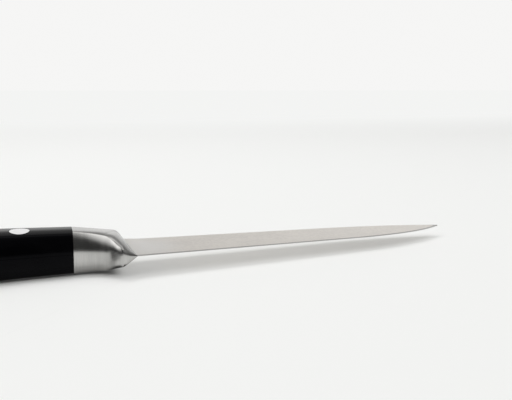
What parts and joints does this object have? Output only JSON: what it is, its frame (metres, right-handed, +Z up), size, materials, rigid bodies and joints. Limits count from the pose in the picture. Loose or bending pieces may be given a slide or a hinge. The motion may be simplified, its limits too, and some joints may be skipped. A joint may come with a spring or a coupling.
{
  "type": "fruit knife",
  "caption": "Kitchen fruit knife lying on its flank: slim pointed steel blade, steel bolster that sweeps down into a finger guard, and a black riveted handle closed round a hidden tang.",
  "frame": {"origin": "middle of the footprint at table height, with the knife lying on the flat of its left scale", "axes": "+X along the knife from the butt to the tip, +Y from the cutting edge to the spine, +Z up out of the table through the right scale"},
  "size_m": [0.2366, 0.024, 0.0186],
  "materials": {
    "blade_steel": "satin",
    "bolster_steel": "fine brushed",
    "handle_plastic": "smooth",
    "rivet_steel": "ground flush"
  },
  "bodies": {
    "root": {"blade": "blade_steel", "bolster": "bolster_steel", "scale_right": "handle_plastic", "scale_left": "handle_plastic", "front_rivet_tube": "rivet_steel", "front_rivet_post": "rivet_steel", "middle_rivet_tube": "rivet_steel", "middle_rivet_post": "rivet_steel", "rear_rivet_tube": "rivet_steel", "rear_rivet_post": "rivet_steel"}
  },
  "joints": []
}
